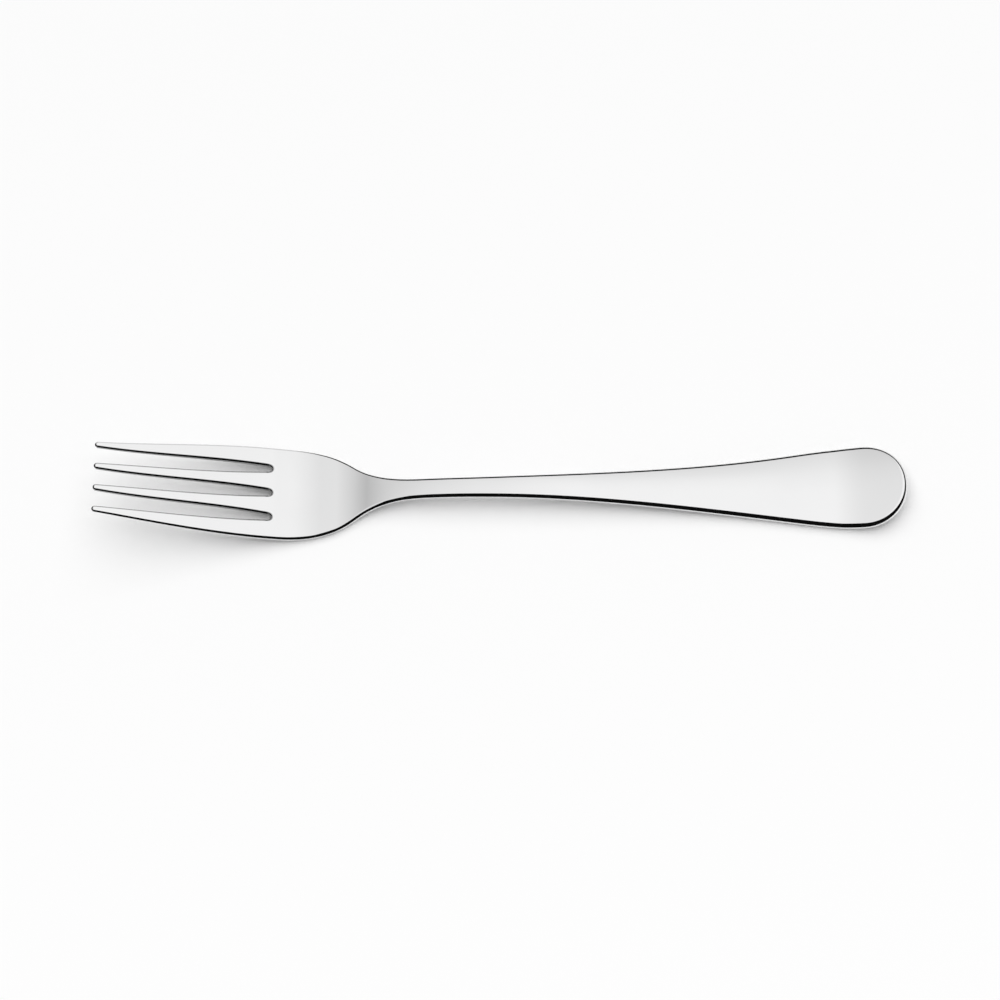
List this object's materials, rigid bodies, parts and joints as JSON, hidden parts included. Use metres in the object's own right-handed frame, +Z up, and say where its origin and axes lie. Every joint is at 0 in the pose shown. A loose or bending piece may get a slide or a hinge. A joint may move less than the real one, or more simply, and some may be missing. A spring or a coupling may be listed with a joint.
{
  "type": "appetizer fork",
  "caption": "One-piece polished stainless steel appetizer fork with tapered tines, round-ended slots, a slim arched neck and a flared handle with a round end.",
  "frame": {"origin": "on the table the fork lies on, under the middle of its length and on its centre line", "axes": "+X from the tine tips to the handle's end, +Z up from the table, +Y across the fork, away from the viewer of the picture"},
  "size_m": [0.1597, 0.0198, 0.0112],
  "materials": {
    "polished_steel": "polished"
  },
  "bodies": {
    "root": {"fork": "polished_steel"}
  },
  "joints": []
}
